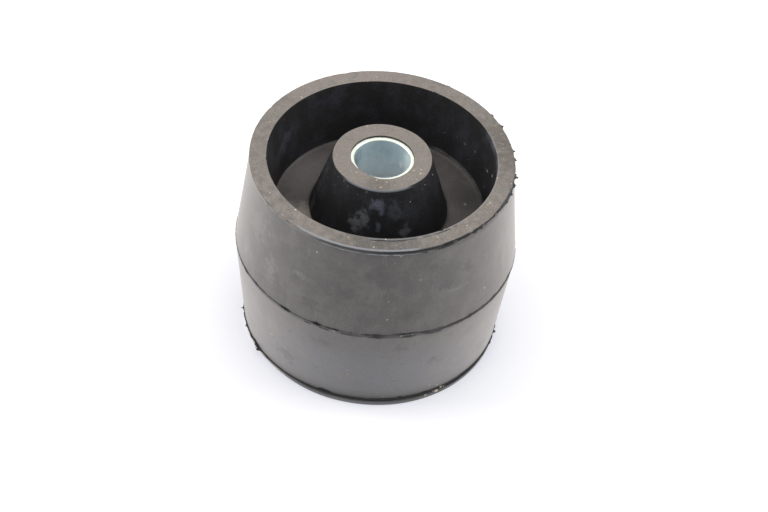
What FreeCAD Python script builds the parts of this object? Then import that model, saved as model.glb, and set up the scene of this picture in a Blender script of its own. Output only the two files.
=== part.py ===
import FreeCAD, Part
import os
import Sketcher

# Boat trailer side roller, standing on one end, with its bore along Z. One rubber moulding, a barrel
# that tapers from a fat middle to both ends, is bonded round a steel tube. Each end has a deep
# ring-shaped recess with the hub in its middle. The mould opened at mid height and at a thin lip on
# each end, and flash stands along these three lines. The two halves of the moulding are alike, so
# the upper half is modelled about the middle plane and mirrored. Millimetres.

# Driving sizes
SIZES = {
    "roller_width": 75.0,          # from end face to end face
    "middle_diameter": 98.0,       # at mid height, under the flash
    "end_diameter": 90.4,          # at each end
    "rim_wall": 5.9,               # width of the flat land round each recess
    "recess_depth": 23.5,
    "recess_taper": 3.1,           # how far the recess wall closes in from mouth to floor
    "hub_wall": 6.0,               # rubber round the tube at the hub's face
    "hub_flare": 7.0,              # how far the hub widens from its face to the recess floor
    "sleeve_diameter": 22.0,       # outside of the steel tube, and the hole it is bonded in
    "sleeve_wall": 1.5,
    "sleeve_set_back": 0.5,        # how far each tube end lies below the hub's face
    "sleeve_chamfer": 0.3,         # broken edge of the tube's bore
    "lip_height": 2.4,             # from the end face to the mould's joint line
    "lip_groove_depth": 0.4,
    "lip_groove_width": 0.9,
    "flash_height": 0.5,
    "flash_width": 0.8,            # at its root
    "floor_bevel": 1.3,            # where the recess wall meets the floor
    "hub_foot_bevel": 1.0,         # where the hub meets the floor
}


FULL_TURN = 360
SAME_PLACE = 1e-4                  # two edges nearer than this are one


class Length:
    """A length as a number, to draw with, and as the words that tie it to the sheet."""

    def __init__(self, number, words):
        self.number = number
        self.words = words

    def __add__(self, other):
        return Length(self.number + other.number, f"({self.words} + {other.words})")

    def __sub__(self, other):
        return Length(self.number - other.number, f"({self.words} - {other.words})")

    def __truediv__(self, share):
        return Length(self.number / share, f"({self.words} / {share})")


MIDDLE_PLANE = Length(0.0, "0")


def make_sheet(doc):
    """The sheet of driving sizes, and each size as a Length."""
    sheet = doc.addObject("Spreadsheet::Sheet", "Sizes")
    for row, (alias, number) in enumerate(SIZES.items(), start=1):
        sheet.set(f"A{row}", alias)
        sheet.set(f"B{row}", str(number))
        sheet.setAlias(f"B{row}", alias)
    doc.recompute()
    return {alias: Length(float(sheet.get(alias)), f"Sizes.{alias}") for alias in SIZES}


def origin_plane(body, role):
    """One of the body's own origin planes."""
    for feature in body.Origin.OriginFeatures:
        if feature.Role == role:
            return feature
    raise ValueError(role)


def make_section(body, name, corners):
    """A closed section beside the Z axis. Each corner is a radius and a height, both Lengths."""
    sketch = body.newObject("Sketcher::SketchObject", name)
    sketch.AttachmentSupport = (origin_plane(body, "XZ_Plane"), [""])
    sketch.MapMode = "FlatFace"

    # Sides, from each corner to the next
    points = [FreeCAD.Vector(radius.number, height.number, 0) for radius, height in corners]
    for start, end in zip(points, points[1:] + points[:1]):
        sketch.addGeometry(Part.LineSegment(start, end), False)

    # Each side starts where the one before it ends, at the corner's own radius and height
    for side, (radius, height) in enumerate(corners):
        before = (side - 1) % len(corners)
        sketch.addConstraint(Sketcher.Constraint("Coincident", before, 2, side, 1))
        for kind, length in (("DistanceX", radius), ("DistanceY", height)):
            constraint = Sketcher.Constraint(kind, -1, 1, side, 1, length.number)
            number = sketch.addConstraint(constraint)
            sketch.setExpression(f"Constraints[{number}]", length.words)
    return sketch


def turn_section(body, kind, name, sketch):
    """The section turned once round the Z axis, as added or removed rubber."""
    feature = body.newObject(kind, name)
    feature.Profile = sketch
    feature.ReferenceAxis = (sketch, ["V_Axis"])
    feature.Angle = FULL_TURN
    body.Document.recompute()
    return feature


def bevel_rings(body, base, name, bevel, rings):
    """Bevels the circular edges of base that lie at the given radii, each at its own height."""
    edges = []
    for radius, height in rings:
        for number, edge in enumerate(base.Shape.Edges, start=1):
            if not isinstance(edge.Curve, Part.Circle):
                continue
            same_radius = abs(edge.Curve.Radius - radius.number) < SAME_PLACE
            same_height = abs(edge.Curve.Center.z - height.number) < SAME_PLACE
            if same_radius and same_height:
                edges.append(f"Edge{number}")
    feature = body.newObject("PartDesign::Chamfer", name)
    feature.Base = (base, edges)
    feature.setExpression("Size", bevel.words)
    body.Document.recompute()
    return feature


def stand_on_end(body, size):
    """Lifts a body from its middle plane so that the roller stands on Z = 0."""
    body.setExpression("Placement.Base.z", (size["roller_width"] / 2).words)


def make_rubber_roller(doc, size):
    """The moulding: barrel, recess, lip groove and flash of the upper half, then mirrored."""
    body = doc.addObject("PartDesign::Body", "rubber_roller")
    body.Label = "rubber_roller"

    end_height = size["roller_width"] / 2
    joint_height = end_height - size["lip_height"]
    bore = size["sleeve_diameter"] / 2
    middle = size["middle_diameter"] / 2
    end = size["end_diameter"] / 2

    # Barrel: out across the middle plane, up the tapered side and the lip, in across the end face
    barrel_section = make_section(
        body,
        "barrel_section",
        [
            (bore, MIDDLE_PLANE),
            (middle, MIDDLE_PLANE),
            (end, joint_height),
            (end, end_height),
            (bore, end_height),
        ],
    )
    turn_section(body, "PartDesign::Revolution", "barrel", barrel_section)

    # Recess: down the flared hub, across the floor and up the tapered wall
    mouth = end - size["rim_wall"]
    floor_edge = mouth - size["recess_taper"]
    floor_height = end_height - size["recess_depth"]
    hub_face = bore + size["hub_wall"]
    hub_foot = hub_face + size["hub_flare"]
    recess_section = make_section(
        body,
        "recess_section",
        [
            (hub_face, end_height),
            (hub_foot, floor_height),
            (floor_edge, floor_height),
            (mouth, end_height),
        ],
    )
    recess = turn_section(body, "PartDesign::Groove", "recess", recess_section)
    floor_bevel = bevel_rings(
        body, recess, "floor_bevel", size["floor_bevel"], [(floor_edge, floor_height)]
    )
    bevel_rings(
        body, floor_bevel, "hub_foot_bevel", size["hub_foot_bevel"], [(hub_foot, floor_height)]
    )

    # Lip groove: sinks in below the lip, and is deepest at the joint line
    groove_section = make_section(
        body,
        "lip_groove_section",
        [
            (end - size["lip_groove_depth"], joint_height),
            (end, joint_height),
            (end, joint_height + size["lip_groove_width"]),
        ],
    )
    turn_section(body, "PartDesign::Groove", "lip_groove", groove_section)

    # Flash: thin ridges with their roots in the rubber, one at the joint line of the end plate
    # and half of the one at mid height
    root = size["flash_width"]
    end_flash_section = make_section(
        body,
        "end_flash_section",
        [
            (end - size["flash_height"], joint_height - root),
            (end + size["flash_height"], joint_height),
            (end - size["flash_height"], joint_height),
        ],
    )
    turn_section(body, "PartDesign::Revolution", "end_flash", end_flash_section)
    middle_flash_section = make_section(
        body,
        "middle_flash_section",
        [
            (middle - size["flash_height"], MIDDLE_PLANE),
            (middle + size["flash_height"], MIDDLE_PLANE),
            (middle - size["flash_height"], MIDDLE_PLANE + root),
        ],
    )
    turn_section(body, "PartDesign::Revolution", "middle_flash", middle_flash_section)

    # The lower half
    lower_half = body.newObject("PartDesign::Mirrored", "lower_half")
    lower_half.MirrorPlane = (origin_plane(body, "XY_Plane"), [""])
    lower_half.TransformMode = "Whole shape"
    lower_half.Refine = True
    body.Tip = lower_half
    stand_on_end(body, size)
    return body


def make_steel_sleeve(doc, size):
    """The bonded tube, a little shorter than the hub at both ends."""
    body = doc.addObject("PartDesign::Body", "steel_sleeve")
    body.Label = "steel_sleeve"
    end_height = size["roller_width"] / 2 - size["sleeve_set_back"]
    outside = size["sleeve_diameter"] / 2
    bore = outside - size["sleeve_wall"]

    section = body.newObject("Sketcher::SketchObject", "tube_section")
    section.AttachmentSupport = (origin_plane(body, "XY_Plane"), [""])
    section.MapMode = "FlatFace"
    for number, radius in enumerate((outside, bore)):
        circle = Part.Circle(FreeCAD.Vector(0, 0, 0), FreeCAD.Vector(0, 0, 1), radius.number)
        section.addGeometry(circle, False)
        section.addConstraint(Sketcher.Constraint("Coincident", number, 3, -1, 1))
        place = section.addConstraint(Sketcher.Constraint("Radius", number, radius.number))
        section.setExpression(f"Constraints[{place}]", radius.words)

    tube = body.newObject("PartDesign::Pad", "tube")
    tube.Profile = section
    tube.SideType = "Symmetric"
    tube.setExpression("Length", (end_height + end_height).words)
    doc.recompute()

    # Broken edges at both mouths of the bore
    lower_end = MIDDLE_PLANE - end_height
    mouths = [(bore, end_height), (bore, lower_end)]
    bevel_rings(body, tube, "mouth_bevels", size["sleeve_chamfer"], mouths)
    stand_on_end(body, size)
    return body


def check_and_write(doc, bodies):
    """Stops at a failed feature or shape, then writes one file for each piece."""
    doc.recompute()
    for item in doc.Objects:
        if "Invalid" in item.State or "Error" in item.State:
            raise RuntimeError(f"{item.Label} failed: {item.State}")
    for body in bodies:
        if body.Shape.isNull() or not body.Shape.isValid():
            raise RuntimeError(f"{body.Label} has no valid shape")
    os.makedirs("parts", exist_ok=True)
    for body in bodies:
        body.Shape.exportStep(f"parts/{body.Label}.step")
        box = body.Shape.optimalBoundingBox(False, True)
        print(
            f"{body.Label}: {len(body.Shape.Solids)} solid, {len(body.Shape.Faces)} faces, "
            f"{body.Shape.Volume:.0f} mm3, "
            f"{box.XLength:.2f} x {box.YLength:.2f} x {box.ZLength:.2f} mm from Z {box.ZMin:.2f}"
        )


document = FreeCAD.newDocument("boat_trailer_roller")
sizes = make_sheet(document)
check_and_write(
    document,
    [make_rubber_roller(document, sizes), make_steel_sleeve(document, sizes)],
)
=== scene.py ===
# %% [markdown]
# # A boat trailer side roller
# One rubber barrel is bonded round a short steel tube. It stands beside the keel of a boat trailer
# and guides the hull. The CAD model gives its exact form. This lesson models the same moulding
# again with soft edges, torn flash and used, dusty rubber, inside the same box.

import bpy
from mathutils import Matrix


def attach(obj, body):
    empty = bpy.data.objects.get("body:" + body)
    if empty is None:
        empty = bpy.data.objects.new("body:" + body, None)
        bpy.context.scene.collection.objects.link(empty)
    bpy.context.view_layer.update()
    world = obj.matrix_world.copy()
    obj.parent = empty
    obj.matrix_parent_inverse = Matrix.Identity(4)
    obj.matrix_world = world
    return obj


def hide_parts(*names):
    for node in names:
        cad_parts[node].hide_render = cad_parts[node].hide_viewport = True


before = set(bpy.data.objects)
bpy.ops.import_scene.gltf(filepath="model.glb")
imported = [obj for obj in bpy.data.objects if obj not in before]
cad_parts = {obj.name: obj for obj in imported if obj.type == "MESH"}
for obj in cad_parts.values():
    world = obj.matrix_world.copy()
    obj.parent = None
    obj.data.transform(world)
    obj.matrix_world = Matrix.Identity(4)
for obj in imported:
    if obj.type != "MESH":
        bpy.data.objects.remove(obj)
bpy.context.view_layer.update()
print("packed nodes:", sorted(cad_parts))

# %% [markdown]
# ## The camera
# The ellipse of the rim tells how the camera stood: about 42 degrees above the floor and rather far
# off, with a long lens. It leaned a little, and the rim was not in the middle of the picture. So
# the camera is turned towards the rim, leaned, and swung until the rim's centre falls on its pixel.

# %% Set up the camera
import bpy
from math import atan2, ceil, cos, degrees, exp, hypot, pi, radians, sin, tan
from mathutils import Matrix, Vector, noise

MM = 0.001
PICTURE = Vector((768, 512))  # in pixels
FOCAL_LENGTH = 2400  # in pixels
RIM_CENTRE_PIXEL = Vector((382.4, 157.2))
RIM_CENTRE = Vector((0, 0, 75 * MM))
CAMERA_HEIGHT_ANGLE = radians(42.28)
CAMERA_LEAN = radians(4.79)
CAMERA_DISTANCE = 814 * MM

look_down = Matrix.Rotation(pi / 2 - CAMERA_HEIGHT_ANGLE, 3, "X")
lean = Matrix.Rotation(CAMERA_LEAN, 3, "Z")
offset = (RIM_CENTRE_PIXEL - PICTURE / 2) / FOCAL_LENGTH
ray_to_rim = Vector((offset.x, -offset.y, -1))
swing = Vector((0, 0, -1)).rotation_difference(ray_to_rim).to_matrix()

lens = bpy.data.cameras.new("camera")
lens.sensor_width = 36
lens.lens = FOCAL_LENGTH / PICTURE.x * lens.sensor_width
camera = bpy.data.objects.new("camera", lens)
bpy.context.scene.collection.objects.link(camera)
camera.matrix_world = (
    Matrix.Translation(RIM_CENTRE + look_down.col[2] * CAMERA_DISTANCE)
    @ (look_down @ lean @ swing.transposed()).to_4x4()
)
bpy.context.scene.camera = camera
print(f"camera: {lens.lens:.1f} mm lens, at {camera.location * 1000}")

# %% [markdown]
# ## Drawing a turned part ring by ring
# Everything on the roller is round, so each piece starts as one circle. The circle is extruded,
# scaled and lifted along the part's section, one ring after another. A section is a list of
# corners, each with a radius, a height and the radius to which the corner is rounded, in
# millimetres. Long runs are divided, so that the surface has points enough to be worked later.

# %% Round and divide a section
HOLD = 0.25  # how far from an eased corner a ring holds the flat beside it


def softened(corners):
    """The points of a section. Each corner is eased to its own radius and held on both sides."""
    points = []
    for place, (radius, height, softness) in enumerate(corners):
        corner = Vector((radius, height))
        if softness == 0:
            points.append(corner)
            continue
        before = Vector(corners[place - 1][:2]) - corner
        after = Vector(corners[place + 1][:2]) - corner
        reach = softness * tan((pi - before.angle(after)) / 2)
        reach = min(reach, 0.45 * before.length, 0.45 * after.length)
        start = corner + before.normalized() * reach
        end = corner + after.normalized() * reach
        if reach + HOLD < 0.5 * before.length:
            points.append(start + before.normalized() * HOLD)
        steps = 2 if softness < 0.25 else 4
        for step in range(steps + 1):
            share = step / steps
            points.append(start.lerp(corner, share).lerp(corner.lerp(end, share), share))
        if reach + HOLD < 0.5 * after.length:
            points.append(end + after.normalized() * HOLD)
    return points


def divided(points, longest):
    """The same points, with more of them where a run is longer than the given length."""
    finer = [points[0]]
    for start, end in zip(points, points[1:]):
        pieces = ceil((end - start).length / longest)
        finer += [start.lerp(end, share / pieces) for share in range(1, pieces + 1)]
    return finer


# %% Extrude a circle along a section
SAME_POINT = 0.002  # points nearer than this are merged
HALF_WIDTH = 37.5
TOP = 2 * HALF_WIDTH


def start_ring(name, point, around):
    """A new piece in edit mode: one ring of points round the roller's axis, all selected."""
    bpy.ops.mesh.primitive_circle_add(
        vertices=around, radius=point.x * MM, location=(0, 0, point.y * MM)
    )
    piece = bpy.context.active_object
    piece.name = name
    piece.data.name = name
    bpy.ops.object.transform_apply(location=True, rotation=False, scale=False)
    bpy.ops.object.mode_set(mode="EDIT")
    bpy.ops.mesh.select_all(action="SELECT")
    return piece


def draw_out(points):
    """Extrudes the selected ring to each next point of its section."""
    for here, there in zip(points, points[1:]):
        grow = there.x / here.x
        bpy.ops.mesh.extrude_region_move()
        bpy.ops.transform.resize(value=(grow, grow, 1), center_override=(0, 0, 0))
        bpy.ops.transform.translate(value=(0, 0, (there.y - here.y) * MM))


def close_up():
    """Merges doubled points, points all faces outwards and leaves edit mode."""
    bpy.ops.mesh.select_all(action="SELECT")
    bpy.ops.mesh.remove_doubles(threshold=SAME_POINT * MM)
    bpy.ops.mesh.normals_make_consistent(inside=False)
    bpy.ops.object.mode_set(mode="OBJECT")


def mirror_and_stand(upper_half):
    """Adds the lower half and lifts the whole to stand on the floor."""
    mirror = upper_half.modifiers.new("lower half", "MIRROR")
    mirror.use_axis = (False, False, True)
    mirror.merge_threshold = SAME_POINT * MM
    bpy.ops.object.modifier_apply(modifier=mirror.name)
    bpy.ops.object.mode_set(mode="EDIT")
    bpy.ops.mesh.select_all(action="SELECT")
    bpy.ops.transform.translate(value=(0, 0, HALF_WIDTH * MM))
    close_up()


# %% [markdown]
# ## The moulding
# The upper half runs from the parting line up the tapered side, over the lip, across the flat
# land, down the recess wall, across the floor, up the flared hub and down the bonded bore. Sharp
# corners of the mould are eased by 0.1 to 0.45 mm, and the two corners of the recess floor by 1.2
# and 1.5 mm. A ring beside each eased corner keeps the flats flat when they are shaded smooth.
# The lower half is the same shape, so a mirror makes it, and then the whole is lifted to stand.

# %% Model the upper half of the moulding
LIP_RADIUS = 45.2
SIDE_TAPER = 0.1075       # how much the side closes in to a millimetre of height
HUB_FACE_RADIUS = 16.95
TUBE_OUTSIDE = 11.0
FINE_RINGS = (32.5, 32.8, 33.1, 33.4, 33.7, 34.0, 34.3, 34.6)
PARTING = [(49.0, 0.0, 0.0), (48.84, 1.5, 0.0)]
UPPER_HALF = [
    (48.84, 1.5, 0.0),
    # Fine rings below the joint line
    *[(45.25 + SIDE_TAPER * (34.9 - height), height, 0.0) for height in FINE_RINGS],
    (45.25, 34.9, 0.1),        # joint line below the lip
    (45.3, 35.4, 0.1),
    (44.8, 35.65, 0.1),        # bottom of the lip groove
    (44.85, 36.45, 0.15),
    (LIP_RADIUS, 36.8, 0.2),
    (LIP_RADIUS, HALF_WIDTH, 0.45),
    # Fine rings for the line by the mouth
    *[(radius, HALF_WIDTH, 0.0) for radius in (41.0, 40.7, 40.45, 40.2, 39.95)],
    (39.3, HALF_WIDTH, 0.15),  # mouth of the recess
    (36.2, 14.0, 1.2),         # foot of the recess wall
    (24.0, 14.0, 1.5),         # foot of the hub
    (HUB_FACE_RADIUS, HALF_WIDTH, 0.35),
    (10.9, HALF_WIDTH, 0.1),
    (10.9, 37.1, 0.0),         # a skin lies on the end of the steel tube
    (TUBE_OUTSIDE, 37.0, 0.0),
]
BORE = [(TUBE_OUTSIDE, 37.0, 0.0), (TUBE_OUTSIDE, 0.0, 0.0)]
RING_POINTS = 480

section = divided(softened(PARTING), 0.75)[:-1] + divided(softened(UPPER_HALF), 2.8)
section += softened(BORE)[1:]
moulding = start_ring("rubber_moulding", section[0], RING_POINTS)
draw_out(section)
close_up()
print(f"upper half: {len(section)} rings, {len(moulding.data.polygons)} faces")

# %% Mirror it and stand it up
mirror_and_stand(moulding)
print(f"moulding: {len(moulding.data.polygons)} faces")

# %% [markdown]
# ## Hand-worked places
# No moulding comes out as true as its drawing. The surface is let in by a few hundredths of a
# millimetre in soft patches. The outer edge of the land is nibbled where flash was torn off. The
# lip groove is filled on the left and in part of the right, and its lower half at the foot. The
# hub's front edge has rubbed down, and a tongue of rubber crept over the end of the tube. Where
# flash was torn away the rubber is dark and rough, and where an edge has rubbed it is pale. Shade
# is painted dark into the lip groove, along the torn edge on the right and above the foot, and
# highlights are painted pale on the rounded edges in front, by the mouth and on the hub. Points
# are moved in code, as a sculpting brush would move them. Each place is an angle round the axis:
# 0 is the right, 180 the left and 270 the front. How dark and how pale the rubber is stays on the
# points as two attributes, which the finishes read.

# %% Find a place round the axis
ON_SIDE = 43.5  # points further out than this are on the side or on a lip


def around_axis(point):
    """Radius and height of a point in millimetres, and its angle in degrees from 0 to 360."""
    angle = degrees(atan2(point.y, point.x)) % 360
    return hypot(point.x, point.y) / MM, point.z / MM, angle


def apart(angle, other):
    """How many degrees lie between two directions."""
    return abs((angle - other + 180) % 360 - 180)


def bumps(angle, places):
    """Height of soft bumps round the axis. Each place is an angle, a width and a height."""
    return sum(high * exp(-((apart(angle, at) / wide) ** 2)) for at, wide, high in places)


def between(value, low, high):
    """How far a value has come from low to high, from 0 to 1, with soft ends."""
    share = min(max((value - low) / (high - low), 0), 1)
    return share * share * (3 - 2 * share)


def ripple(angle, waves, seed):
    """Noise round the axis, from -1 to 1, with about so many waves to a turn."""
    turn = radians(angle)
    return noise.noise(Vector((cos(turn), sin(turn), 0)) * waves / 6 + Vector((0, 0, seed)))


# %% Describe the torn lines and the painted groove shade
FOOT_SMUDGES = [
    (252.2, 2.6, 1.0), (255.5, 1.5, 0.4), (211, 3.4, 1.0), (263, 1.6, 0.48), (275.5, 2.6, 0.5),
    (286.3, 2.2, 0.6), (298, 4, 0.5), (322, 14, 0.45),
]


def strand(off_line, half_width):
    """Strength of a strand at a distance from its middle, in millimetres."""
    return exp(-((off_line / half_width) ** 4))


def stretch(angle, first, last, fade=4):
    """1 between two angles, with soft ends, and 0 elsewhere."""
    half = (last - first) / 2
    return between(apart(angle, first + half), half + fade, half)


def groove_open(angle):
    """How much of the lip groove is open at an angle. Rubber fills it on the left and right."""
    return 1 - stretch(angle, 158, 238, 16) - stretch(angle, 309, 334, 6)


def mouth_line(radius, angle):
    """A fine torn line on the land, close to the mouth, on the near side."""
    off_line = radius - 40.45 - 0.1 * ripple(angle, 60, 13.0)
    line = stretch(angle, 269, 284, 2) * strand(off_line, 0.24)
    bits = stretch(angle, 284, 312, 3) * between(ripple(angle, 90, 14.0), -0.2, 0.2)
    return max(line, bits * strand(radius - 40.1, 0.3))


def torn_and_shaded_areas(radius, height, angle):
    """The torn areas and painted groove shade at a place: how much each covers it, and how dark it
    is. Both from 0 to 1.
    """
    below_top = TOP - height
    if radius < ON_SIDE:
        return [(mouth_line(radius, angle) if radius > 39 and below_top < 0.6 else 0.0, 0.8)]

    # The lip groove as painted shade, the torn edge on the right with painted groove shade, and
    # small ticks on the left
    right = stretch(angle, 302, 352)
    groove = strand(below_top - 1.05 - 0.12 * ripple(angle, 50, 8.0), 0.62) * groove_open(angle)
    groove *= 1 - stretch(angle, 306, 352, 3)
    edge = right * strand(below_top - 0.75, 0.85 + 1.1 * ripple(angle, 120, 19.0))
    edge *= between(radius, 44.95, 45.07)
    edge *= between(ripple(angle, 120, 12.0), -1.0, -0.35)
    ticks = stretch(angle, 203, 232, 6) * strand(below_top - 0.7, 0.4)
    ticks *= between(ripple(angle, 160, 16.0), 0.0, 0.3)

    # The line at the foot, torn flash with the painted shade of its groove, with its smudges, and a
    # band between the strands of the middle line
    low = max(0.5 * stretch(angle, 214, 244, 10), stretch(angle, 312, 345, 8))
    foot_middle = 2.6 - 0.3 * low + 0.12 * ripple(angle, 60, 9.0)
    foot = strand(height - foot_middle, 0.62 + 0.45 * low + 0.2 * ripple(angle, 40, 10.0))
    smudge = min(bumps(angle, FOOT_SMUDGES), 1) * strand(height - 3.1, 1.3)
    middle = stretch(angle, 246, 300, 3)
    middle *= between(height, 37.2, 37.45) * between(height, 39.3, 39.05)
    return [
        (groove, 0.12 + 0.55 * stretch(angle, 281, 299, 20)), (edge, 0.85), (ticks, 0.12),
        (foot, 0.36 + 0.9 * min(bumps(angle, FOOT_SMUDGES), 0.6) + 0.15 * ripple(angle, 30, 17.0)),
        (smudge, 0.85),
        (middle, 0.04 + 0.25 * ripple(angle, 200, 20.0)),
    ]


def torn_and_shade_cover(radius, height, angle):
    """How much of a place is covered by torn rubber and painted groove shade, from 0 to 1."""
    return max(cover for cover, depth in torn_and_shaded_areas(radius, height, angle))


def torn_and_shade_share(radius, height, angle):
    """How dark the rubber is at a place, from 0 to 1: torn, painted shade in the groove and above
    the foot, and darker bands beside the torn lines.
    """
    darkened = 0.0
    if radius > ON_SIDE:
        # Painted shade above the foot line and onto the lip on the right; darker ragged bands below
        # the upper edge and by the middle line on the right
        on_lip = between(height, 1.4, 2.1) + between(height, 2.1, 1.4) * stretch(angle, 308, 350, 8)
        darkened = 0.9 * between(height, 6.0, 2.6) * stretch(angle, 196, 350, 8) * on_lip
        ragged = between(ripple(angle, 200, 18.0), -0.7, 0.2)
        by_edge = between(TOP - height, 3.2, 0.9) * between(TOP - height, 0.2, 0.5)
        by_edge *= stretch(angle, 300, 352, 6) * (0.4 + 0.5 * ragged)
        by_middle = strand(height - 37.2, 1.2) * stretch(angle, 296, 346, 6) * (0.3 + 0.3 * ragged)
        darkened = max(darkened, by_edge, by_middle)
    return max([darkened] + [cover * depth for cover, depth in torn_and_shaded_areas(radius, height, angle)])


def worn_and_highlight_share(radius, height, angle):
    """How pale an edge is at a place, from 0 to 1: painted highlights on the rounded edges in
    front, by the mouth and on the hub, and pale flakes of wear on the left.
    """
    below_top = TOP - height
    front = stretch(angle, 238, 286, 6)
    if radius > ON_SIDE and below_top < 0.75:
        flakes = 0.5 * stretch(angle, 203, 236, 6) * between(ripple(angle, 160, 21.0), 0.0, 0.3)
        edge = between(radius, 44.6, 44.85) * between(below_top, 0.55, 0.3)
        return max(0.8 * front, flakes) * edge
    if 39 < radius < 41 and below_top < 0.5:
        beside = strand(radius - 39.85, 0.28) * stretch(angle, 268, 300, 3)
        right = strand(radius - 39.5, 0.3) * stretch(angle, 305, 380, 10)
        return 0.45 * beside + 0.35 * right * (1 + ripple(angle, 60, 11.0))
    if 16.1 < radius < 18 and 0.005 < below_top < 0.3:
        return 0.55 * stretch(angle, 232, 300, 14)
    return 0.0


# %% Work the surface
NIBBLED_EDGE = [
    (217, 1.2, 0.10), (223.5, 1.2, 0.12), (229, 1.4, 0.1), (322, 1.6, 0.15), (331, 0.8, 0.25),
    (345, 1.2, 0.2), (110, 1.4, 0.15), (152, 1.0, 0.15),
]
TORN_MOUTH = [(303, 0.7, 0.5), (306, 0.5, 0.25), (65, 0.8, 0.3), (188, 0.6, 0.3)]
FOOT_LIP = [(226, 15, -0.6), (287, 30, 0.5)]
TUBE_TONGUE = [
    (186, 12, 0.2), (208, 9, 0.45), (224, 11, 0.7), (241, 11, 0.7), (257, 9, 0.4), (275, 10, 0.15),
]


def worked_moulding(radius, height, angle, point):
    """The place of a point of the moulding, once the rubber is let in, nibbled and torn."""
    # Soft patches are let in, but not in the bore
    if radius > 12:
        sink = 0.05 * (1 - noise.noise(point / (14 * MM)))
        radius += -sink if radius > 41 else sink
    below_top = TOP - height

    # Upper lip: a filled groove, a nibbled edge and a joint line that stands a little high
    if radius > 44 and 0.5 < below_top < 2.2:
        radius += (45.15 - radius) * (1 - groove_open(angle))
    if radius > 43 and below_top < 2.4:
        bite = bumps(angle, NIBBLED_EDGE) + 0.05 * ripple(angle, 300, 4.0)
        fade = (radius - 43) / 2.2
        radius -= fade * bite
        height -= 0.6 * fade * bite * (1 - below_top / 2.4)
    if radius > 44 and below_top < 6:
        height += 0.55 * between(below_top, 0.5, 1.2) * between(below_top, 6, 3)

    # Lower lip: a half filled groove, and a lip that stands out in front and in on the left
    if radius > 44 and 0.5 < height < 2.0:
        radius += (LIP_RADIUS - radius) * between(height, 2.05, 1.6)
    if radius > 43 and height < 2.6:
        radius += bumps(angle, FOOT_LIP) * between(height, 2.6, 1.9) * between(radius, 43, 45)

    # Torn mouth, rubbed hub, and a tongue over the tube
    if 39 < radius < 41 and below_top < 1.5:
        radius += bumps(angle, TORN_MOUTH) * (1 - (radius - 39) / 2)
        height -= 0.15 * mouth_line(radius, angle)
    if 16.4 < radius < 17.3 and below_top < 0.6:
        radius -= 0.45 * stretch(angle, 235, 305, 30) * between(below_top, 0.6, 0.2)
    if radius < 13 and below_top < 0.46:
        reach = bumps(angle, TUBE_TONGUE) * (1 + 0.3 * ripple(angle, 60, 5.0))
        radius -= reach * (13 - radius) / 2
    return radius, min(height, TOP)


def work_points(piece, new_place):
    """Moves each point of a piece to the radius and height that new_place gives."""
    for vertex in piece.data.vertices:
        radius, height, angle = around_axis(vertex.co)
        radius, height = new_place(radius, height, angle, vertex.co)
        turn = radians(angle)
        vertex.co = Vector((radius * cos(turn), radius * sin(turn), height)) * MM


def keep_on_points(piece, name, share_at):
    """Stores a share from 0 to 1 on each point of a piece."""
    shares = [share_at(*around_axis(vertex.co)) for vertex in piece.data.vertices]
    piece.data.attributes.new(name, "FLOAT", "POINT").data.foreach_set("value", shares)
    print(f"{piece.name}: {sum(share > 0.5 for share in shares)} points marked {name}")


# Darkness from torn rubber and painted shade, and paleness from painted highlights and wear, are
# kept on the points
work_points(moulding, worked_moulding)
keep_on_points(moulding, "torn", torn_and_shade_share)
cover_at = [torn_and_shade_cover(*around_axis(vertex.co)) for vertex in moulding.data.vertices]
keep_on_points(moulding, "worn_and_highlight", worn_and_highlight_share)

# %% [markdown]
# ## Flash
# Rubber creeps into the joints of its mould and is left as a thin fin. One fin runs along each
# lip. It was torn off by hand, so its edge is ragged and in places gone. A fin is a thin closed
# ring with its root in the moulding. The points of its crest are moved by noise at two scales, and
# by a list of tears where the real one has teeth or tufts. The fin at mid height was torn off
# close to the side, and what is left of it is two flat ragged strands. A strand is a ribbon that
# sinks into the side where it is narrow, so that it seems to end and to start again.

# %% Model the fins
FIN_POINTS = 1800


def torn_ring(name, corners, new_place):
    """A thin closed ring with the given section, each point moved to its torn place."""
    points = [Vector(corner) for corner in corners]
    ring = start_ring(name, points[0], FIN_POINTS)
    draw_out(points + points[:1])
    close_up()
    work_points(ring, new_place)
    bpy.ops.object.shade_smooth_by_angle(angle=radians(50))
    print(f"{name}: {len(ring.data.polygons)} faces")
    return ring


def torn_fin(name, radius, height, reach, tears, seed):
    """A ring of flash that stands out of the moulding. Reach gives its length at an angle."""
    stand = 0.3  # as drawn, before it is torn
    corners = [
        (radius - 0.6, height - 0.2), (radius, height - 0.16), (radius + stand, height - 0.05),
        (radius + stand, height + 0.05), (radius, height + 0.16), (radius - 0.6, height + 0.2),
    ]

    def worked_fin(point_radius, point_height, angle, point):
        wave = 0.12 * ripple(angle, 50, seed)
        if point_radius > radius + stand / 2:
            wild = bumps(angle, tears)
            ragged = 0.7 * ripple(angle, 90, seed) + 0.6 * ripple(angle, 420, seed)
            point_radius += reach(angle) * (1 + ragged) - stand
            point_radius += wild * (0.55 + 0.9 * ripple(angle, 700, seed))
            wave += 0.10 * ripple(angle, 360, seed) + 0.5 * wild * ripple(angle, 270, seed + 1)
            wave += 1.6 * bumps(angle, CURLED_UP)
        else:
            point_radius += min(reach(angle), 0)
        return point_radius, point_height + wave

    return torn_ring(name, corners, worked_fin)


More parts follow.
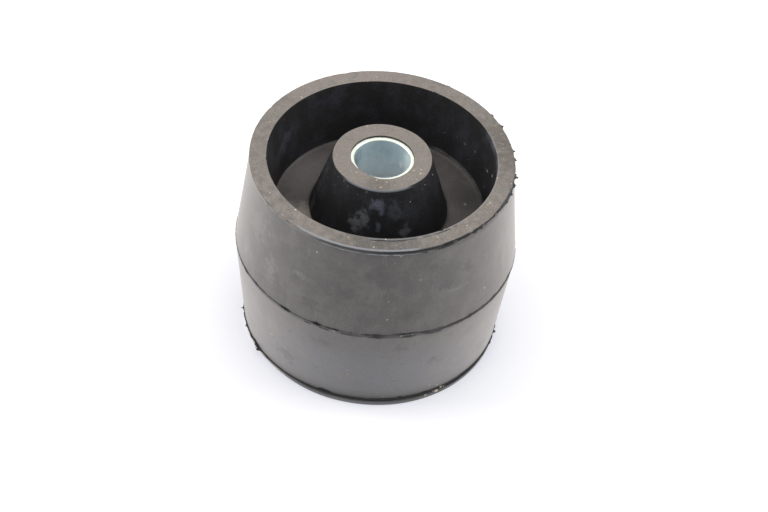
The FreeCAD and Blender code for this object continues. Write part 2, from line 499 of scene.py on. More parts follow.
CURLED_UP = [(36.5, 4, 0.5), (29, 4, 0.5), (63, 2, 0.6)]
TOP_TEARS = [
    (36.5, 1.1, 1.4), (28.8, 1.3, 1.0), (25, 1.2, 0.5), (22, 1.5, 0.5), (18, 1.0, 0.5),
    (63, 0.8, 1.4), (13.6, 0.9, 1.5), (8, 0.9, 1.1), (357.3, 1.1, 2.1), (351.3, 1.0, 1.2),
    (346, 1.5, 0.9), (341, 1.2, 0.6), (335, 1.2, 0.5), (244, 4, 0.2), (281, 0.9, 0.7),
    (292, 0.8, 0.5), (120, 4, 0.4), (160, 3, 0.5),
]
FOOT_TEARS = [
    (188, 0.8, 1.3), (194, 1.2, 0.3), (199, 0.9, 1.0), (206, 1.5, 0.5), (211.5, 1.2, 0.8),
    (214, 1.4, 2.0), (224, 2, 0.2), (252, 2.5, 0.4), (304, 3, 0.4), (335, 2, 0.4),
    (343, 1.2, 0.6), (350.5, 0.9, 1.3), (40, 3, 0.5), (110, 2, 0.7),
]

top_fin = torn_fin(
    "upper_lip_flash", LIP_RADIUS, TOP - 1.8,
    lambda angle: -0.3 + 0.6 * groove_open(angle), TOP_TEARS, 1.0,
)
foot_fin = torn_fin("lower_lip_flash", LIP_RADIUS, 2.6, lambda angle: 0.28, FOOT_TEARS, 2.0)


def highlit_crest(radius, height, angle):
    """How pale the upper fin is: a painted highlight on its crest on the near side."""
    highlit = stretch(angle, 240, 278, 5) + 0.7 * stretch(angle, 279, 294, 3)
    return highlit * between(radius, LIP_RADIUS, 45.3) * between(ripple(angle, 80, 15.0), -0.7, 0.0)


# A painted highlight on the crest of the upper fin, in front
keep_on_points(top_fin, "worn_and_highlight", highlit_crest)
keep_on_points(
    top_fin, "torn",
    lambda radius, height, angle:
        0.35 + 0.3 * stretch(angle, 270, 300, 8) - 0.25 * stretch(angle, 307, 334, 5),
)
keep_on_points(foot_fin, "torn", lambda radius, height, angle: 0.62)

# %% Model the torn strands of the middle line
UPPER_STRAND = [
    (195, 2.5, 0.10), (203, 2.5, 0.22), (207.8, 2.0, 0.40), (212, 2.0, 0.1), (216, 2.2, 0.33),
    (220.5, 2.2, 0.22), (226, 4.0, 0.1), (234.3, 3.2, 0.50), (249.2, 1.9, 0.48), (254, 1.8, 0.24),
    (257, 1.4, 0.30), (269.5, 1.5, 0.2), (273.8, 2.6, 0.36), (285, 3.8, 0.34), (294, 3.0, 0.26),
    (300, 3.0, 0.34), (307, 5.0, 0.50), (315, 4.5, 0.62), (327, 7.0, 0.66), (340, 7.0, 0.70),
    (60, 5.0, 0.2), (120, 8.0, 0.2),
]
LOWER_STRAND = [
    (245, 1.6, 0.22), (252.4, 2.0, 0.3), (263.3, 4.0, 0.36), (274, 3.4, 0.34), (286.4, 2.4, 0.50),
    (297, 4.0, 0.30), (100, 6.0, 0.3), (160, 5.0, 0.3),
]


def side_radius(height):
    """Radius of the tapered side at a height."""
    return 49.0 - 0.107 * abs(height - HALF_WIDTH)


def torn_strand(name, middle, half_width, seed):
    """A ragged ribbon of torn rubber on the side. It sinks in where its half width is small."""
    corners = [(48, 37), (49, 37), (49.1, 37.3), (49.1, 37.7), (49, 38), (48, 38)]

    def worked_ribbon(radius, height, angle, point):
        ragged = 0.4 * ripple(angle, 400, seed) + 0.6 * ripple(angle, 120, seed + 3)
        wide = half_width(angle) * (1 + ragged) + 0.05 * ripple(angle, 900, seed)
        place = middle(angle) + (height - HALF_WIDTH) * 2 * wide
        place += 0.06 * ripple(angle, 220, seed + 1)
        proud = (radius - 49) * (1 + 0.6 * ripple(angle, 500, seed + 2) if radius > 49.05 else 1)
        return side_radius(place) + proud - 0.35 * between(wide, 0.16, 0.06), place

    return torn_ring(name, corners, worked_ribbon)


def upper_middle(angle):
    """Height of the upper strand: it stands a little above mid height, most of all in front."""
    drop = 0.35 * stretch(angle, 299, 322, 8) - 0.3 * stretch(angle, 281, 289, 3)
    drop += 0.3 * stretch(angle, 297, 380, 6) + 0.65 * stretch(angle, 340, 380, 28)
    return 38.25 + 0.4 * stretch(angle, 214, 345, 6) - drop + 0.08 * ripple(angle, 40, 1.0)


upper_strand = torn_strand(
    "upper_strand", upper_middle,
    lambda angle: 0.17 - 0.04 * stretch(angle, 259, 267, 2) + bumps(angle, UPPER_STRAND), 4.0,
)
lower_strand = torn_strand(
    "lower_strand", lambda angle: upper_middle(angle) - 0.95 - 0.35 * stretch(angle, 281, 289, 3),
    lambda angle: bumps(angle, LOWER_STRAND), 5.0,
)


def strand_depth(radius, height, angle):
    """How dark the strands are: darkest in the thick smears, and brown and lighter on the right."""
    thick = bumps(angle, UPPER_STRAND)
    lighter = 0.33 * stretch(angle, 300, 350, 10) + 0.15 * stretch(angle, 320, 350, 8)
    darker = 0.18 * stretch(angle, 243, 262, 4)
    return 0.36 + 1.15 * min(thick, 0.5) + darker - lighter - 0.15 * stretch(angle, 190, 226)


keep_on_points(upper_strand, "torn", strand_depth)
keep_on_points(lower_strand, "torn", lambda *place: strand_depth(*place) - 0.12)

# %% [markdown]
# ## The steel tube
# A short length of zinc-plated tube with its ends faced and its edges broken. It is drawn the
# same way: up the outside, across the end, over the bevel and down the bore.

# %% Model the tube
TUBE_END = HALF_WIDTH - 0.5
TUBE_BORE = 9.5
TUBE_HALF = [
    (TUBE_OUTSIDE, 0.0, 0.0),
    (TUBE_OUTSIDE, TUBE_END, 0.15),
    (TUBE_BORE + 0.25, TUBE_END, 0.1),
    (TUBE_BORE, TUBE_END - 0.4, 0.15),
    (TUBE_BORE, 0.0, 0.0),
]

tube_section = divided(softened(TUBE_HALF), 2.5)
tube = start_ring("steel_tube", tube_section[0], 256)
draw_out(tube_section)
close_up()
mirror_and_stand(tube)
print(f"tube: {len(tube.data.polygons)} faces")

# %% [markdown]
# ## Node groups that the finishes share
# Handled rubber shows cloudy patches of bloom, specks of dust, a fine grain and smudges. Each is
# a node group that reads Object coordinates, so that it stays put on the piece, and gives a mask
# or a height. A finish places the groups and sets their values.

# %% A small helper to build node trees
PER_METRE = 1000.0  # millimetres in a metre


class Tree:
    """Adds nodes to a node tree and links them."""

    def __init__(self, tree):
        self.tree = tree

    def node(self, kind, settings=None, **inputs):
        """A node with its settings, and its inputs as plain values or as sockets to link."""
        node = self.tree.nodes.new(kind)
        for name, value in (settings or {}).items():
            setattr(node, name, value)
        for name, value in inputs.items():
            self.put(node, name, value)
        return node

    def put(self, node, name, value):
        """Sets or links one input, named by its words or by its number."""
        words = name.replace("_", " ")
        socket = node.inputs[int(words[5:])] if words.startswith("input") else node.inputs[words]
        if isinstance(value, bpy.types.NodeSocket):
            self.tree.links.new(value, socket)
        else:
            socket.default_value = value

    def out(self, kind, settings=None, **inputs):
        """The first output of a new node."""
        return self.node(kind, settings, **inputs).outputs[0]

    def math(self, operation, first, second):
        """Two values joined by a Math node."""
        return self.out("ShaderNodeMath", {"operation": operation}, input0=first, input1=second)

    def vector(self, operation, **inputs):
        """The result of a Vector Math node."""
        return self.out("ShaderNodeVectorMath", {"operation": operation}, **inputs)

    def place(self):
        """The place on the piece, in metres, from Object coordinates."""
        return self.node("ShaderNodeTexCoord").outputs["Object"]

    def spread(self, value, low, high, to_low=0.0, to_high=1.0):
        """A value moved smoothly from one range to another."""
        return self.out(
            "ShaderNodeMapRange", {"interpolation_type": "SMOOTHSTEP"},
            Value=value, From_Min=low, From_Max=high, To_Min=to_low, To_Max=to_high,
        )

    def blend(self, share, first, second, way="MIX"):
        """Two colours mixed by a share from 0 to 1."""
        settings = {"data_type": "RGBA", "blend_type": way}
        mix = self.node("ShaderNodeMix", settings, input0=share, input6=first, input7=second)
        return mix.outputs[2]


def emptied(owner):
    """The node tree of a material or a world, ready to be filled."""
    owner.use_nodes = True
    owner.node_tree.nodes.clear()
    return Tree(owner.node_tree)


def new_group(name, inputs, outputs):
    """A shader node group of floats: the group, its tree, what it is given and its result."""
    group = bpy.data.node_groups.new(name, "ShaderNodeTree")
    for socket, value in inputs.items():
        made = group.interface.new_socket(socket, in_out="INPUT", socket_type="NodeSocketFloat")
        made.default_value = value
    for socket in outputs:
        group.interface.new_socket(socket, in_out="OUTPUT", socket_type="NodeSocketFloat")
    tree = Tree(group)
    given = list(tree.node("NodeGroupInput").outputs)[:len(inputs)]
    return group, tree, given, tree.node("NodeGroupOutput")


# %% Cloudy bloom
bloom_group, tree, given, result = new_group(
    "cloudy bloom", {"Patch Size": 4.0, "Threshold": 0.5, "Softness": 0.2, "Stretch": 1.0}, ["Mask"]
)
patch_size, threshold, softness, upwards = given
size = tree.math("DIVIDE", PER_METRE, patch_size)
upright = tree.math("DIVIDE", size, upwards)
scale = tree.out("ShaderNodeCombineXYZ", X=size, Y=size, Z=upright)
scaled = tree.vector("MULTIPLY", input0=tree.place(), input1=scale)
clouds = tree.out("ShaderNodeTexNoise", Vector=scaled, Scale=1.0, Detail=4.0, Roughness=0.6)
low = tree.math("SUBTRACT", threshold, softness)
high = tree.math("ADD", threshold, softness)
tree.put(result, "Mask", tree.spread(clouds, low, high))
print("group:", bloom_group.name)

# %% Dust specks
speck_group, tree, given, result = new_group(
    "dust specks", {"Spacing": 2.0, "Share": 0.1, "Speck Size": 0.2}, ["Mask"]
)
spacing, speck_share, speck_size = given
size = tree.math("DIVIDE", PER_METRE, spacing)
scaled = tree.vector("SCALE", input0=tree.place(), Scale=size)
cells = tree.node("ShaderNodeTexVoronoi", Vector=scaled, Scale=1.0, Randomness=1.0)
chosen = tree.node("ShaderNodeSeparateColor", Color=cells.outputs["Color"])
keep = tree.math("LESS_THAN", chosen.outputs[0], speck_share)
grain = tree.math("MULTIPLY", chosen.outputs[1], speck_size)
near = tree.math("DIVIDE", cells.outputs["Distance"], tree.math("ADD", grain, 0.02))
dot = tree.spread(near, 1.0, 0.6)
tree.put(result, "Mask", tree.math("MULTIPLY", keep, dot))
print("group:", speck_group.name)

# %% Rubber grain
grain_group, tree, given, result = new_group(
    "rubber grain", {"Grain Size": 0.5, "Coarse Share": 0.5}, ["Height", "Fine"]
)
grain_size, coarse_share = given
size = tree.math("DIVIDE", PER_METRE, grain_size)
scaled = tree.vector("SCALE", input0=tree.place(), Scale=size)
fine = tree.out("ShaderNodeTexNoise", Vector=scaled, Scale=1.0, Detail=3.0)
coarse = tree.out("ShaderNodeTexNoise", Vector=scaled, Scale=0.12, Detail=2.0)
part = tree.math("MULTIPLY", coarse, coarse_share)
tree.put(result, "Height", tree.math("ADD", fine, part))
tree.put(result, "Fine", tree.spread(fine, 0.3, 0.7))
print("group:", grain_group.name)

# %% A smudge at one place
smudge_group, tree, given, result = new_group(
    "smudge",
    {"X": 0.0, "Y": 0.0, "Z": 0.0, "Width": 5.0, "Height": 5.0, "Raggedness": 0.8}, ["Mask"],
)
x, y, z, width, height, raggedness = given
middle = tree.out("ShaderNodeCombineXYZ", X=x, Y=y, Z=z)
reach = tree.out("ShaderNodeCombineXYZ", X=width, Y=width, Z=height)
in_mm = tree.vector("SCALE", input0=tree.place(), Scale=PER_METRE)
away = tree.vector("SUBTRACT", input0=in_mm, input1=middle)
share = tree.vector("DIVIDE", input0=away, input1=reach)
length = tree.node("ShaderNodeVectorMath", {"operation": "LENGTH"}, input0=share).outputs["Value"]
rag = tree.out("ShaderNodeTexNoise", Vector=in_mm, Scale=0.45, Detail=4.0)
rag = tree.math("MULTIPLY", tree.math("SUBTRACT", rag, 0.5), raggedness)
rag = tree.math("MULTIPLY", rag, 3.0)
tree.put(result, "Mask", tree.spread(tree.math("ADD", length, rag), 1.0, 0.1))
print("group:", smudge_group.name)

# %% [markdown]
# ## Rubber finishes
# The moulding is one rubber, but it does not look the same all over. The lands were ground on
# sand and are matte and brown with dust. The side is satin. In front its sheen is lowered in five
# steps towards the foot, as painted shade, and towards the upper edge on the right, where it is
# darker. The recesses still have the polish of the mould and are nearly black. Their floors hold
# grey dust. One function builds them all: a plain colour with bloom over it, its marks, a fine
# speckle, then torn places and painted shade, painted highlights and pale wear, with dust and
# crumbs on top.

# %% Build a rubber finish
# Torn rubber and painted shade are both blended towards this black
TORN_AND_SHADE_BLACK = (0.008, 0.008, 0.010)
# Painted edge highlights and pale wear are both blended towards this grey
WORN_AND_HIGHLIGHT_GREY = (0.30, 0.31, 0.34)
DUST = (0.60, 0.55, 0.44)


def placed_group(tree, group, **values):
    """The outputs of a node group in a material's tree, with its own values."""
    return tree.node("ShaderNodeGroup", {"node_tree": group}, **values).outputs


def spot(angle, radius, height, wide, tall, colour, ragged=0.8):
    """A mark for a finish: one smudge at a place on the roller, in degrees and millimetres."""
    turn = radians(angle)
    place = {"X": radius * cos(turn), "Y": radius * sin(turn), "Z": height}
    return smudge_group, {**place, "Width": wide, "Height": tall, "Raggedness": ragged}, colour


def patches(colour, size, threshold, softness, stretch=1.0):
    """A mark for a finish: cloudy patches all over it."""
    values = {"Patch_Size": size, "Threshold": threshold, "Softness": softness}
    return bloom_group, {**values, "Stretch": stretch}, colour


def marked(tree, base, marks):
    """A colour with marks laid over it. Each mark is a node group, its values and its colour."""
    for group, values, colour in marks:
        base = tree.blend(placed_group(tree, group, **values)[0], base, (*colour, 1))
    return base


def shaded(tree, base, clouds, rough, texture, strength, shine):
    """Adds a shader: its colour, a roughness that follows the clouds, a grain of some strength,
    and the shader's own plain values for its shine."""
    roughness = tree.spread(clouds[0], 0.0, 1.0, *rough)
    bump = tree.out(
        "ShaderNodeBump", Strength=strength, Distance=0.05 * MM, Height=texture["Height"]
    )
    shader = tree.out(
        "ShaderNodeBsdfPrincipled", Base_Color=base, Roughness=roughness, Normal=bump, **shine
    )
    tree.node("ShaderNodeOutputMaterial", Surface=shader)


def rubber_finish(
    name, colour, bloom, patch, speckle, specks, grain, rough, shine, marks=(), crumbs=()
):
    """A rubber material. Bloom is the colour of its patches, and patch their size, threshold,
    softness and stretch. A speck is a spacing, a share and a size. The grain is a size and a
    coarse share, and rough the two roughnesses."""
    material = bpy.data.materials.new(name)
    tree = emptied(material)
    clouds = placed_group(tree, bloom_group, **patches(bloom, *patch)[1])
    base = tree.blend(clouds[0], (*colour, 1), (*bloom, 1))
    base = marked(tree, base, marks)
    texture = placed_group(tree, grain_group, Grain_Size=grain[0], Coarse_Share=grain[1])
    shade = tree.spread(texture["Fine"], 0.0, 1.0, 1 - speckle, 1 + speckle)
    grey = tree.out("ShaderNodeCombineColor", Red=shade, Green=shade, Blue=shade)
    base = tree.blend(1.0, base, grey, "MULTIPLY")
    # First torn rubber and painted shade darken the colour, then painted highlights and pale wear
    # lighten it
    torn = tree.node("ShaderNodeAttribute", {"attribute_name": "torn"}).outputs["Fac"]
    base = tree.blend(torn, base, (*TORN_AND_SHADE_BLACK, 1))
    worn_and_highlight = tree.node("ShaderNodeAttribute", {"attribute_name": "worn_and_highlight"}).outputs["Fac"]
    base = tree.blend(worn_and_highlight, base, (*WORN_AND_HIGHLIGHT_GREY, 1))
    dust = [
        (speck_group, {"Spacing": spacing, "Share": share, "Speck_Size": size}, DUST)
        for spacing, share, size in specks
    ]
    base = marked(tree, base, [*dust, *crumbs])
    shaded(tree, base, clouds, rough, texture, 0.4, shine)
    return material


# %% The dusty end faces
PALE_SPECK = (0.62, 0.58, 0.46)
END_SPECKS = [
    (227, 39.9, 0.45), (269.5, 43.7, 0.4), (257.5, 41.0, 0.35), (299, 41.7, 0.3), (334, 41.2, 0.4),
    (352, 39.6, 0.4), (271, 15.0, 0.4), (264, 11.6, 0.35), (280, 12.3, 0.35), (334, 14.8, 0.4),
    (341, 14.2, 0.35), (334, 12.2, 0.4), (226, 11.8, 0.3), (112, 16.5, 0.3), (322, 15.6, 0.3),
]
end_face = rubber_finish(
    "dusty end face", (0.160, 0.141, 0.127), (0.245, 0.217, 0.195),
    (3.0, 0.5, 0.25), 0.16, [(1.1, 0.04, 0.25), (2.4, 0.07, 0.16)], (0.35, 1.0), (0.8, 0.9),
    {"Specular_IOR_Level": 0.3},
    marks=[
        spot(110, 44, TOP, 34, 5, (0.245, 0.210, 0.192), 0.2),
        spot(0, 0, TOP, 34, 5, (0.225, 0.200, 0.177), 0.2),
        spot(14, 43, TOP, 24, 5, (0.140, 0.124, 0.110), 0.2),
        spot(272, 43.5, TOP, 22, 5, (0.122, 0.111, 0.103), 0.2),
        spot(268, 15, TOP, 8, 5, (0.152, 0.136, 0.122), 0.3),
        patches((0.198, 0.186, 0.163), 4.6, 0.6, 0.1),
        patches((0.240, 0.208, 0.188), 2.2, 0.66, 0.14),
        *[
            spot(angle, radius, TOP, size, 0.5, PALE_SPECK, 0.2)
            for angle, radius, size in END_SPECKS
        ],
    ],
)
print("finish:", end_face.name)

# %% The satin side
PALE_CRUMB = (0.36, 0.36, 0.34)
TAN_CRUMB = (0.60, 0.55, 0.43)
OLIVE_CRUMB = (0.34, 0.33, 0.22)
FOOT_CRUMBS = [
    spot(angle, 45.4, height, size, size, colour, 0.2) for angle, height, size, colour in (
        (300.0, 6.3, 0.55, PALE_CRUMB), (304.2, 4.7, 0.6, PALE_CRUMB),
        (304.1, 1.8, 1.1, TAN_CRUMB), (306.4, 2.5, 0.7, TAN_CRUMB),
        (298.6, 1.4, 0.8, OLIVE_CRUMB), (296.4, 1.2, 0.5, OLIVE_CRUMB),
        (302.3, 2.1, 0.4, TAN_CRUMB), (308.0, 2.2, 0.4, OLIVE_CRUMB),
    )
]

# Clouds: angle, height, and how wide and how tall
LIGHT_CLOUD = (0.104, 0.099, 0.095)
LIGHT_CLOUDS = [
    (212, 62, 7, 9), (224, 50, 4, 8), (219, 66, 3, 4), (233, 66, 3, 2.5), (238, 56, 3, 2),
    (205, 47, 4, 5), (226, 22, 5, 9), (214, 26, 4, 8), (243, 20, 3, 6), (330, 60, 2, 10),
    (338, 56, 2, 12), (324, 62, 2, 7), (345, 50, 3, 9), (327, 25, 5, 7), (314, 24, 4, 4),
    (302, 14, 6, 4), (262, 14, 7, 3),
]
DARK_CLOUD = (0.028, 0.028, 0.029)
DARK_CLOUDS = [
    (218, 43, 6, 3), (206, 56, 5, 4), (245, 46, 6, 3), (258, 55, 8, 5), (272, 64, 6, 3),
    (286, 47, 7, 4), (296, 66, 5, 3), (313, 60, 4, 5), (334, 52, 2, 9), (321, 42, 5, 2),
    (341, 64, 2, 7), (284, 32, 5, 3.2), (305, 32.5, 2, 1.6), (316, 30.5, 2, 1.6),
    (300, 21, 4, 2.5), (233, 14, 6, 4), (208, 12, 4, 5), (252, 30, 6, 3), (330, 12, 6, 5),
]

SATIN_SHADE_STEPS = (0.88, 0.78, 0.67, 0.55, 0.42)  # sheen lowered by steps towards the foot, as painted shade
sides = []
for number, satin in enumerate(SATIN_SHADE_STEPS):
    side = rubber_finish(
        f"satin side {number}", (0.034, 0.033, 0.034), (0.076, 0.073, 0.071),
        (7.0, 0.55, 0.22), 0.14, [(3.0, 0.05, 0.10), (1.4, 0.035, 0.11)], (0.5, 2.0), (0.40, 0.50),
        {"Sheen_Weight": satin, "Sheen_Roughness": 0.5, "Sheen_Tint": (1.0, 0.94, 0.90, 1)},
        marks=[
            # Lighter and bluer on the lower half, as painted light from the floor
            spot(0, 0, 14, 400, 26, (0.084, 0.089, 0.106), 0.03),
            patches((0.086, 0.082, 0.079), 2.2, 0.66, 0.14, 4.0),
            patches((0.030, 0.029, 0.030), 3.4, 0.68, 0.1, 0.7),
            # Darker towards the foot, as painted shade
            spot(0, 0, 0, 400, 8.5, (0.034, 0.035, 0.041), 0.05),
            spot(265, 45.2, 0.5, 32, 2.4, (0.100, 0.100, 0.108), 0.1),
            spot(338, 47, 58, 11, 16, (0.092, 0.089, 0.087), 0.2),
            *[spot(angle, 48, *cloud, LIGHT_CLOUD) for angle, *cloud in LIGHT_CLOUDS],
            *[spot(angle, 48, *cloud, DARK_CLOUD) for angle, *cloud in DARK_CLOUDS],
            spot(302, 46.9, 56.5, 4.5, 3.5, (0.026, 0.026, 0.032)),
            spot(307, 47.4, 53.2, 7.0, 0.8, (0.082, 0.082, 0.088), 0.9),
            spot(303, 48.9, 36.6, 14, 1.5, (0.020, 0.018, 0.018), 0.5),
            spot(322, 48.9, 37.0, 12, 1.6, (0.020, 0.018, 0.018), 0.5),
            spot(236.5, 48.1, 28, 0.8, 0.7, (0.012, 0.012, 0.012), 0.3),
            spot(316, 48.3, 30.6, 0.7, 0.6, (0.015, 0.015, 0.015), 0.3),
            spot(305.8, 48.4, 32.5, 0.6, 0.6, (0.015, 0.015, 0.015), 0.3),
            spot(245.7, 45.8, 68.5, 0.5, 0.5, (0.50, 0.48, 0.44), 0.2),
            spot(290, 46.3, 61.5, 0.35, 0.4, (0.40, 0.38, 0.35), 0.2),
            spot(277.4, 48.0, 45.6, 0.4, 0.5, (0.30, 0.29, 0.27), 0.2),
            spot(322.6, 48.0, 46, 0.5, 0.6, (0.40, 0.38, 0.35), 0.2),
            # A pale lip strip at the foot on the left, as a painted reflection of the floor
            spot(204, 45.2, 0.3, 30, 1.3, (0.62, 0.55, 0.50), 0.1),
        ],
        crumbs=FOOT_CRUMBS,
    )
    sides.append(side)
print("finishes:", [side.name for side in sides])

# %% The polished recess
FAINT_HAZE = (0.050, 0.050, 0.062)
RECESS_FLOOR = TOP - 23.5
FOOT_GLEAM = [(56, 52.8), (46, 52.6), (36, 52.5), (26, 52.5), (15, 52.5), (4, 52.5)]
HUB_SPECKS = [
    (225, 74.0, 0.55), (215, 73.5, 0.35), (255.5, 74.0, 0.4), (246, 72.0, 0.3), (258, 70.0, 0.4),
    (192.5, 71.5, 0.5), (359, 66.5, 0.6), (323, 72.0, 0.5), (214.5, 70.0, 0.35), (232, 73.2, 0.35),
]


def on_hub(height):
    """Radius of the flared hub at a height."""
    return HUB_FACE_RADIUS + 0.3 * (TOP - height)


recess = rubber_finish(
    "polished recess", (0.022, 0.022, 0.023), (0.034, 0.034, 0.040),
    (6.0, 0.56, 0.15, 1.6), 0.25, [(1.5, 0.06, 0.14), (3.5, 0.08, 0.10)], (0.35, 1.5),
    (0.58, 0.70), {"Specular_IOR_Level": 0.3, "IOR": 1.25},
    marks=[
        spot(165, 37.4, 59.5, 4.0, 3.0, FAINT_HAZE),
        spot(158, 37.4, 61.5, 4.5, 3.5, FAINT_HAZE),
        spot(151, 37.5, 64.5, 4.5, 3.0, FAINT_HAZE),
        spot(172, 37.5, 62, 7.0, 11.0, (0.044, 0.039, 0.038)),
        spot(121.4, 38.4, 70, 7.0, 3.0, (0.034, 0.034, 0.044)),
        spot(267, 18.5, 70.0, 3.2, 3.2, (0.120, 0.118, 0.156), 0.6),
        spot(274, 19.1, 68.0, 1.4, 3.6, (0.095, 0.098, 0.130), 0.6),
        spot(271.5, 20.8, 62.6, 1.3, 3.0, (0.075, 0.080, 0.104)),
        spot(257, 19.8, 65.5, 2.8, 3.2, (0.125, 0.128, 0.138)),
        spot(252, 20.9, 61.8, 4.4, 3.6, (0.112, 0.114, 0.124)),
        spot(296.0, 21.7, 60, 2.8, 2.8, (0.100, 0.102, 0.115)),
        spot(290, 19.0, 68, 5.0, 5.0, (0.052, 0.055, 0.062)),
        spot(190, 23.0, 55, 2.4, 4.0, (0.066, 0.059, 0.054), 1.2),
        spot(187, 20.8, 62, 2.2, 4.0, (0.060, 0.054, 0.050), 1.2),
        spot(186, 18.6, 69.5, 2.0, 3.0, (0.054, 0.049, 0.046), 1.2),
        *[
            spot(angle, 36.4, height, 6.0, 1.1, (0.120, 0.117, 0.112), 0.15)
            for angle, height in FOOT_GLEAM
        ],
        *[
            spot(angle, on_hub(height), height, size, size, (0.12, 0.11, 0.095), 0.5)
            for angle, height, size in HUB_SPECKS
        ],
        spot(15.5, 38.0, 63.5, 0.8, 0.8, (0.34, 0.34, 0.32), 0.2),
        spot(32, 37.7, 63.0, 0.6, 0.6, (0.15, 0.15, 0.14), 0.2),
        spot(13, 37.0, 57.5, 0.8, 0.8, (0.14, 0.14, 0.13), 0.2),
        spot(6.3, 38.3, 66.8, 0.8, 0.8, (0.40, 0.40, 0.36), 0.2),
        spot(41, 37.6, 62.0, 0.7, 0.7, (0.15, 0.10, 0.09), 0.2),
    ],
)
print("finish:", recess.name)

# %% The dusty recess floor and the torn flash
FLOOR_MARKS = [
    (150, 31, 15, (0.128, 0.119, 0.113), 0.2), (5, 25, 4.5, (0.100, 0.094, 0.090), 0.4),
    (15, 33, 11, (0.048, 0.044, 0.042), 0.15), (10, 30.6, 0.8, (0.22, 0.20, 0.18), 1.2),
    (200, 31, 11, (0.150, 0.134, 0.122), 0.3), (194, 27, 8, (0.245, 0.213, 0.188), 0.3),
    (212, 29, 8, (0.245, 0.213, 0.188), 0.3),
]
floor_dust = rubber_finish(
    "dusty recess floor", (0.058, 0.052, 0.050), (0.104, 0.092, 0.088),
    (5.0, 0.5, 0.3), 0.12, [(1.6, 0.03, 0.2), (4.0, 0.06, 0.1)], (0.4, 1.0), (0.6, 0.75), {},
    marks=[
        spot(angle, radius, RECESS_FLOOR, wide, 3, colour, ragged)
        for angle, radius, wide, colour, ragged in FLOOR_MARKS
    ],
)
# This finish also carries the painted shade of the lip groove and of the foot line
torn = rubber_finish(
    "torn flash", (0.100, 0.100, 0.106), (0.125, 0.118, 0.112),
    (2.0, 0.55, 0.15), 0.3, [(1.0, 0.03, 0.2)], (0.25, 1.0), (0.5, 0.8),
    {"Specular_IOR_Level": 0.15},
    marks=[
        spot(324, 48.9, 38, 22, 4, (0.120, 0.106, 0.098), 0.2),
        spot(252, 48.9, 38.2, 10, 2.5, (0.170, 0.170, 0.176), 0.3),
    ],
    crumbs=[
        spot(256.6, 48.9, 37.8, 0.9, 0.6, (0.26, 0.26, 0.26), 0.3),
        spot(283.4, 48.9, 38.2, 0.7, 0.4, (0.26, 0.26, 0.26), 0.3),
        *FOOT_CRUMBS,
    ],
)
FINISHES = [end_face, recess, floor_dust, torn, *sides]
print("finishes:", [finish.name for finish in FINISHES])

# %% Give each face of the moulding its finish
for finish in FINISHES:
    moulding.data.materials.append(finish)


def finish_of(face):
    """The finish of a face: torn rubber with painted groove shade, or by its place and by the way
    it points.
    """
    radius, height, angle = around_axis(face.center)
    from_middle = abs(height - HALF_WIDTH)
    upright = abs(face.normal.z)
    if radius > ON_SIDE and sum(cover_at[corner] for corner in face.vertices) > 2:
        return torn
    if radius > ON_SIDE and height > TOP - 1 and groove_open(angle) < 0.5:
        return end_face
    if from_middle > 36.7 and upright > (0.35 if radius > ON_SIDE else 0.9):
        return end_face
    if radius > ON_SIDE:
        # In front the sheen steps down towards the foot as painted shade, and below the upper edge
        # on the right, where it is darker
        darker_step = between(height, 5.2, 2.8) * stretch(angle, 200, 350, 8)
        by_edge = between(TOP - height, 4.6, 1.0) * stretch(angle, 302, 346, 6)
        darker_step = max(darker_step, by_edge * between(ripple(angle, 60, 18.0), -0.9, 0.3))
        return sides[1 if height < 2.3 and darker_step > 0.5 else round(4 * darker_step)]
    if upright > 0.5 and from_middle < 16:
        return floor_dust
    return recess


for face in moulding.data.polygons:
    face.material_index = FINISHES.index(finish_of(face))
for fin in (top_fin, foot_fin, upper_strand, lower_strand):
    fin.data.materials.append(torn)
for piece in (moulding, tube):
    bpy.ops.object.select_all(action="DESELECT")
    piece.select_set(True)
    bpy.context.view_layer.objects.active = piece
    bpy.ops.object.shade_smooth_by_angle(angle=radians(40))

# %% [markdown]
# ## Zinc plating
# Zinc is a pale metal with a blue cast, and it soon clouds over: inside the bore it is
# half matte. The cut ends of the tube are bare, bright steel with a trace of yellow.

# %% Build the metal finishes
def metal_finish(name, dark, light, patch_size, rough, metallic, marks=()):
    """A metal with cloudy patches between two colours and two roughnesses, and its marks."""
    material = bpy.data.materials.new(name)
    tree = emptied(material)
    clouds = placed_group(tree, bloom_group, Patch_Size=patch_size, Softness=0.25)
    texture = placed_group(tree, grain_group, Grain_Size=0.4, Coarse_Share=1.0)
    base = marked(tree, tree.blend(clouds[0], (*dark, 1), (*light, 1)), marks)
    shaded(tree, base, clouds, rough, texture, 0.2, {"Metallic": metallic})
    return material


zinc = metal_finish(
    "clouded zinc", (0.54, 0.66, 0.71), (0.80, 0.90, 0.92), 2.6, (0.50, 0.34), 0.42,
    marks=[
        # Painted light and shade in the bore: darker at the top and on the left, lighter deeper
        # down and on the right, and two painted glints
        spot(95, TUBE_BORE, 74, 40, 9, (0.50, 0.61, 0.65), 0.4),
        spot(168, TUBE_BORE, 68, 6.5, 12, (0.26, 0.33, 0.35), 0.4),
        spot(20, TUBE_BORE, 68, 5.5, 12, (0.86, 0.95, 0.96), 0.4),
        spot(95, TUBE_BORE, 56, 30, 14, (1.0, 1.0, 1.0), 0.2),
        spot(46, TUBE_BORE, 66, 1.3, 2.2, (1.0, 1.0, 1.0), 0.5),
        spot(71, TUBE_BORE, 64.5, 1.0, 1.2, (1.0, 1.0, 1.0), 0.5),
    ],
)
cut_steel = metal_finish(
    "cut steel end", (0.86, 0.92, 0.78), (0.96, 1.0, 0.90), 2.0, (0.3, 0.4), 1.0
)
for metal in (zinc, cut_steel):
    tube.data.materials.append(metal)
for face in tube.data.polygons:
    face.material_index = 1 if abs(face.normal.z) > 0.3 else 0
print("metals:", zinc.name, cut_steel.name)

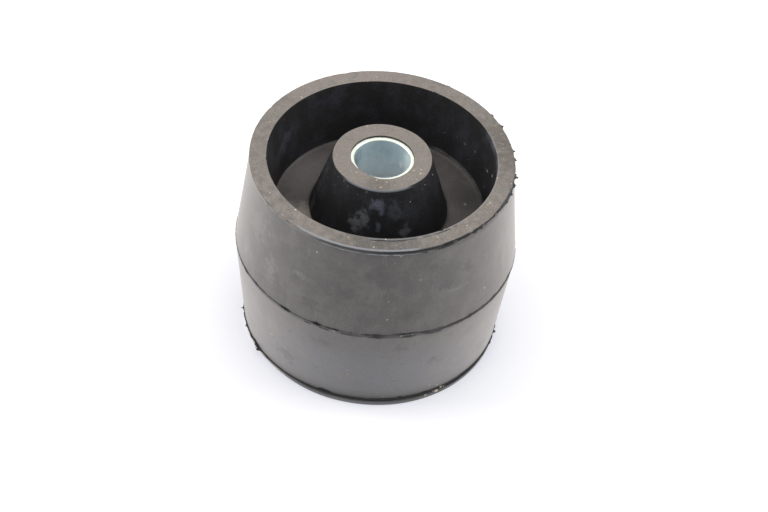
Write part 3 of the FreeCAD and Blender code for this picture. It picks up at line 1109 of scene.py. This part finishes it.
# %% [markdown]
# ## Light, floor and background
# The roller stood on a white sweep in a white room. A pale floor and a white world light it from
# all sides, and soft lamps at the left, at the right and overhead brighten it. Where the camera
# sees the floor itself, it is lifted towards white but keeps a faint blue shadow.

# %% Lay the floor
bpy.ops.mesh.primitive_grid_add(
    x_subdivisions=8, y_subdivisions=8, size=6, location=(0, 0, -0.02 * MM)
)
bpy.ops.object.transform_apply(location=True, rotation=False, scale=False)
floor = bpy.context.active_object
floor.name = "floor"
paper = bpy.data.materials.new("white sweep")
tree = emptied(paper)
seen = tree.node("ShaderNodeLightPath")
share = seen.outputs["Is Camera Ray"]
colour = tree.blend(share, (0.74, 0.74, 0.75, 1), (0.87, 0.84, 0.72, 1))
matte = tree.out("ShaderNodeBsdfDiffuse", Color=colour)
glow = tree.out("ShaderNodeEmission", Color=(0.15, 0.18, 0.32, 1), Strength=share)
sheet = tree.out("ShaderNodeAddShader", input0=matte, input1=glow)
tree.node("ShaderNodeOutputMaterial", Surface=sheet)
floor.data.materials.append(paper)

# %% Light the room
bpy.context.scene.view_settings.view_transform = "Standard"
world = bpy.data.worlds.new("white room")
bpy.context.scene.world = world
tree = emptied(world)
seen = tree.node("ShaderNodeLightPath")
share = tree.math("MAXIMUM", seen.outputs["Is Camera Ray"], seen.outputs["Is Glossy Ray"])
share = tree.math("MAXIMUM", share, seen.outputs["Is Transmission Ray"])
strength = tree.spread(share, 0.0, 1.0, 0.8, 1.0)
sky = tree.out("ShaderNodeBackground", Color=(1, 1, 1, 1), Strength=strength)
tree.node("ShaderNodeOutputWorld", Surface=sky)


def soft_lamp(name, place, size, power):
    """A square area lamp that points at the roller."""
    data = bpy.data.lights.new(name, "AREA")
    data.shape = "SQUARE"
    data.size = size
    data.energy = power
    lamp = bpy.data.objects.new(name, data)
    bpy.context.scene.collection.objects.link(lamp)
    lamp.location = place
    aim = Vector((0, 0, 40 * MM)) - lamp.location
    lamp.rotation_euler = aim.to_track_quat("-Z", "Y").to_euler()


soft_lamp("left lamp", (-1.3, 0.1, 0.75), 0.9, 9.8)
soft_lamp("right lamp", (1.3, 0.1, 0.75), 0.9, 6.8)
soft_lamp("overhead lamp", (0.1, 0.15, 1.4), 1.0, 4.0)

# %% [markdown]
# ## Body and CAD nodes
# Each piece rides on the roller's one body. The moulding and the tube stand for their CAD nodes,
# which are hidden.

# %% Ride and replace
for piece, finish_slot in (
    (moulding, "black_rubber"), (top_fin, "black_rubber"), (foot_fin, "black_rubber"),
    (upper_strand, "black_rubber"), (lower_strand, "black_rubber"), (tube, "zinc_plated_steel"),
):
    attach(piece, "root")
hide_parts("rubber_roller")
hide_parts("steel_sleeve")
